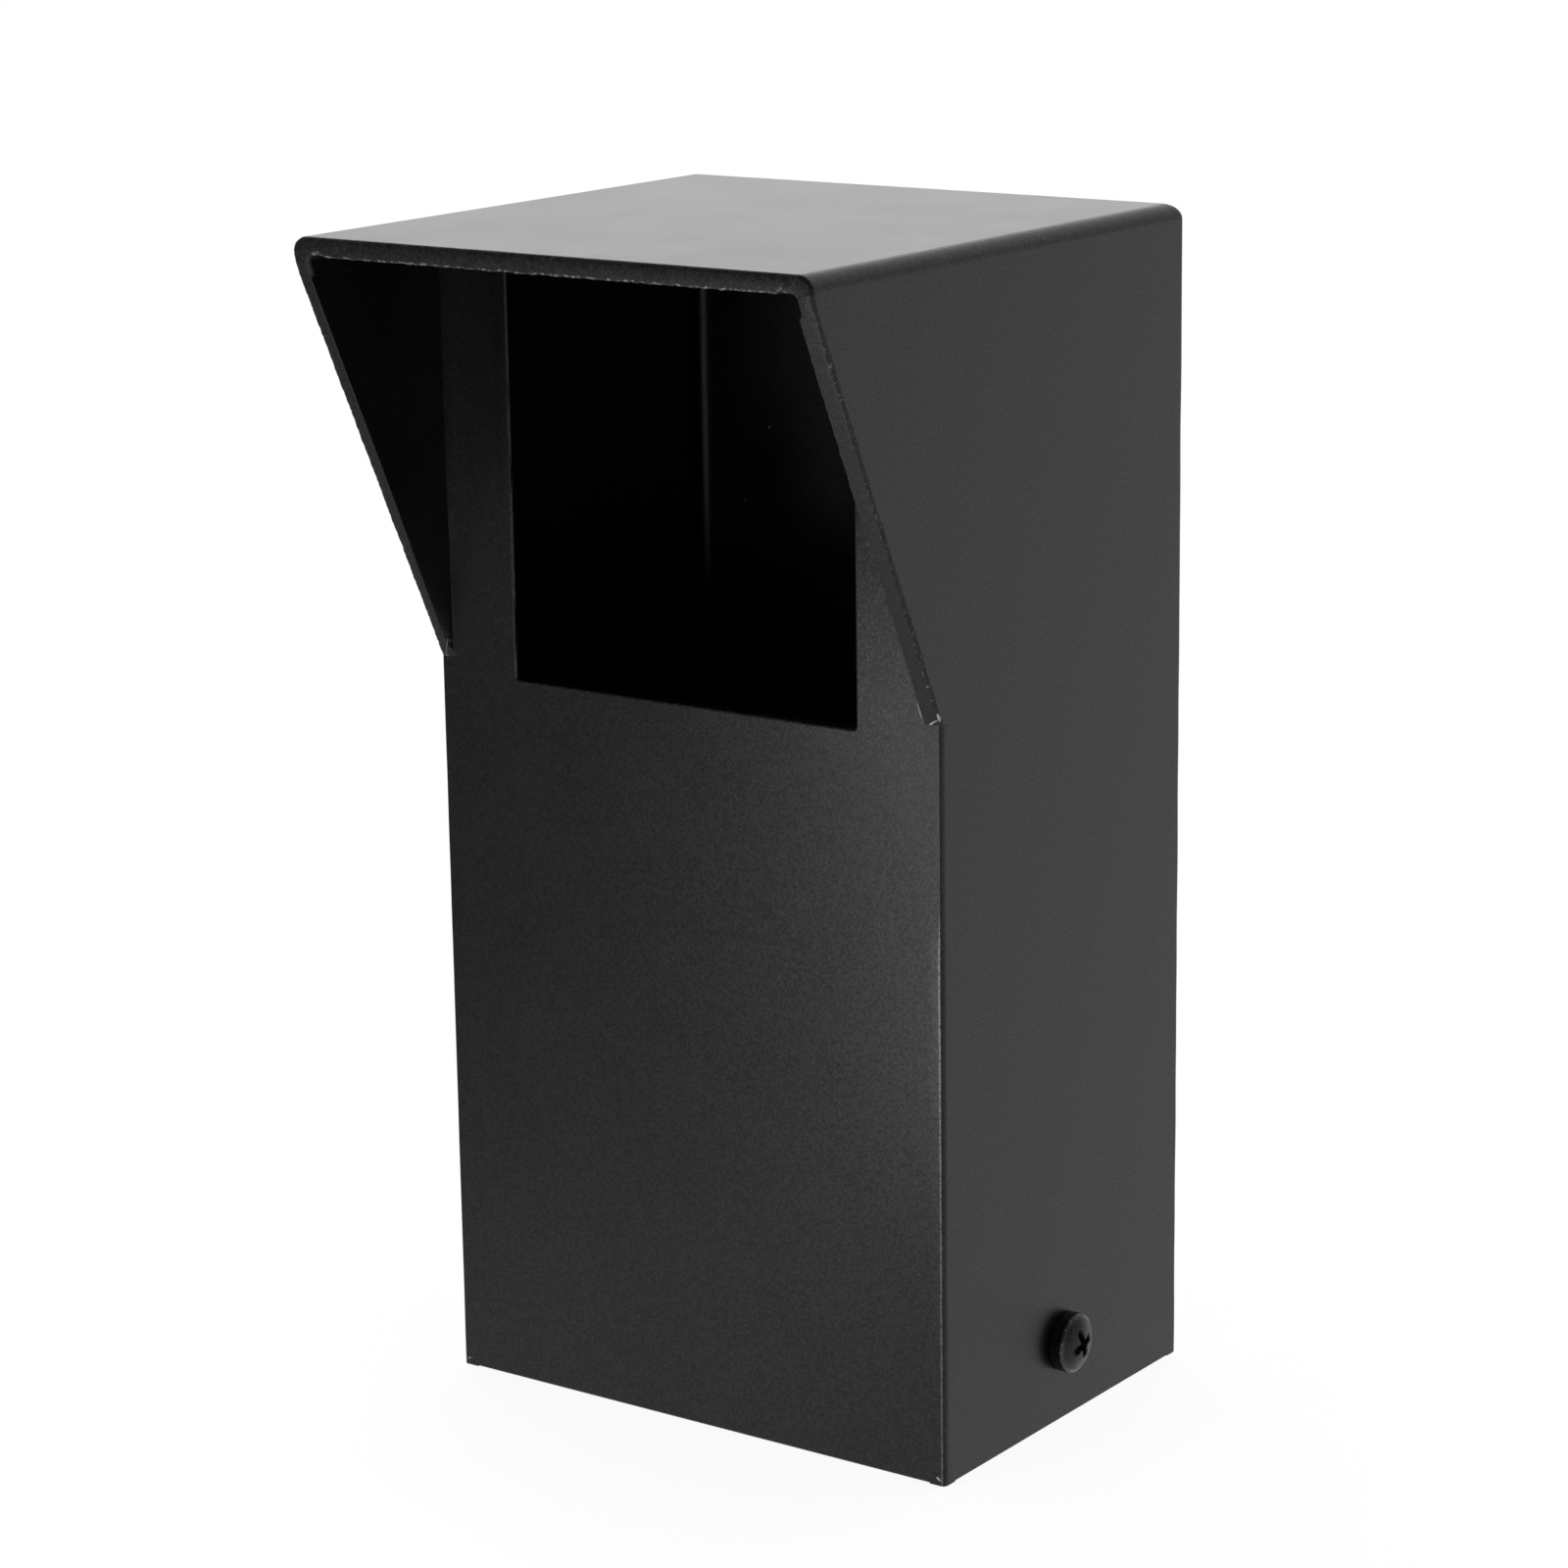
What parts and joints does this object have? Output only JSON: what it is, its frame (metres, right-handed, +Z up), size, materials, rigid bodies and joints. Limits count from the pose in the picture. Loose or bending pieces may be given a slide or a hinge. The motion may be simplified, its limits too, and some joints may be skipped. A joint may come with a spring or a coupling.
{
  "type": "hooded drop housing",
  "caption": "Small upright welded steel drop housing with an overhanging roof, slanted cheeks, an open front window and a closed back, screwed to the ears of a floor bracket.",
  "frame": {"origin": "middle of the body's footprint, on the underside of the floor plate", "axes": "+Z up, -Y out of the front window, +X to the right as seen from the front (the pictured screw is on +X)"},
  "size_m": [0.1076, 0.1065, 0.1995],
  "materials": {
    "powder_coat": "semi-matte black powder coat with fine orange peel",
    "coated_weld": "ground weld under the same black powder coat",
    "bracket_coat": "black powder coat, duller inside",
    "screw_black": "satin black screw finish",
    "zinc": "zinc plated steel"
  },
  "bodies": {
    "base": {"base_bracket": "bracket_coat"},
    "hood": {"hood_shell": "powder_coat", "front_panel": "powder_coat", "rear_panel": "powder_coat", "front_left_corner_weld": "coated_weld", "front_right_corner_weld": "coated_weld", "front_left_cheek_weld": "coated_weld", "front_right_cheek_weld": "coated_weld", "rear_left_corner_weld": "coated_weld", "rear_right_corner_weld": "coated_weld", "rear_top_weld": "coated_weld", "left_washer": "zinc", "right_washer": "zinc", "left_nut": "zinc", "right_nut": "zinc"},
    "left_screw": {"left_screw": "screw_black"},
    "right_screw": {"right_screw": "screw_black"}
  },
  "joints": [
    {"name": "hood_lift", "type": "slide", "parent": "base", "child": "hood", "axis": [0, 0, 1], "range_m": [0, 0.06]},
    {"name": "left_screw_turn", "type": "hinge", "parent": "hood", "child": "left_screw", "pos_m": [-0.05, 0, 0.0135], "axis": [-1, 0, 0], "range_deg": [0, 1080]},
    {"name": "right_screw_turn", "type": "hinge", "parent": "hood", "child": "right_screw", "pos_m": [0.05, 0, 0.0135], "axis": [1, 0, 0], "range_deg": [0, 1080]}
  ]
}
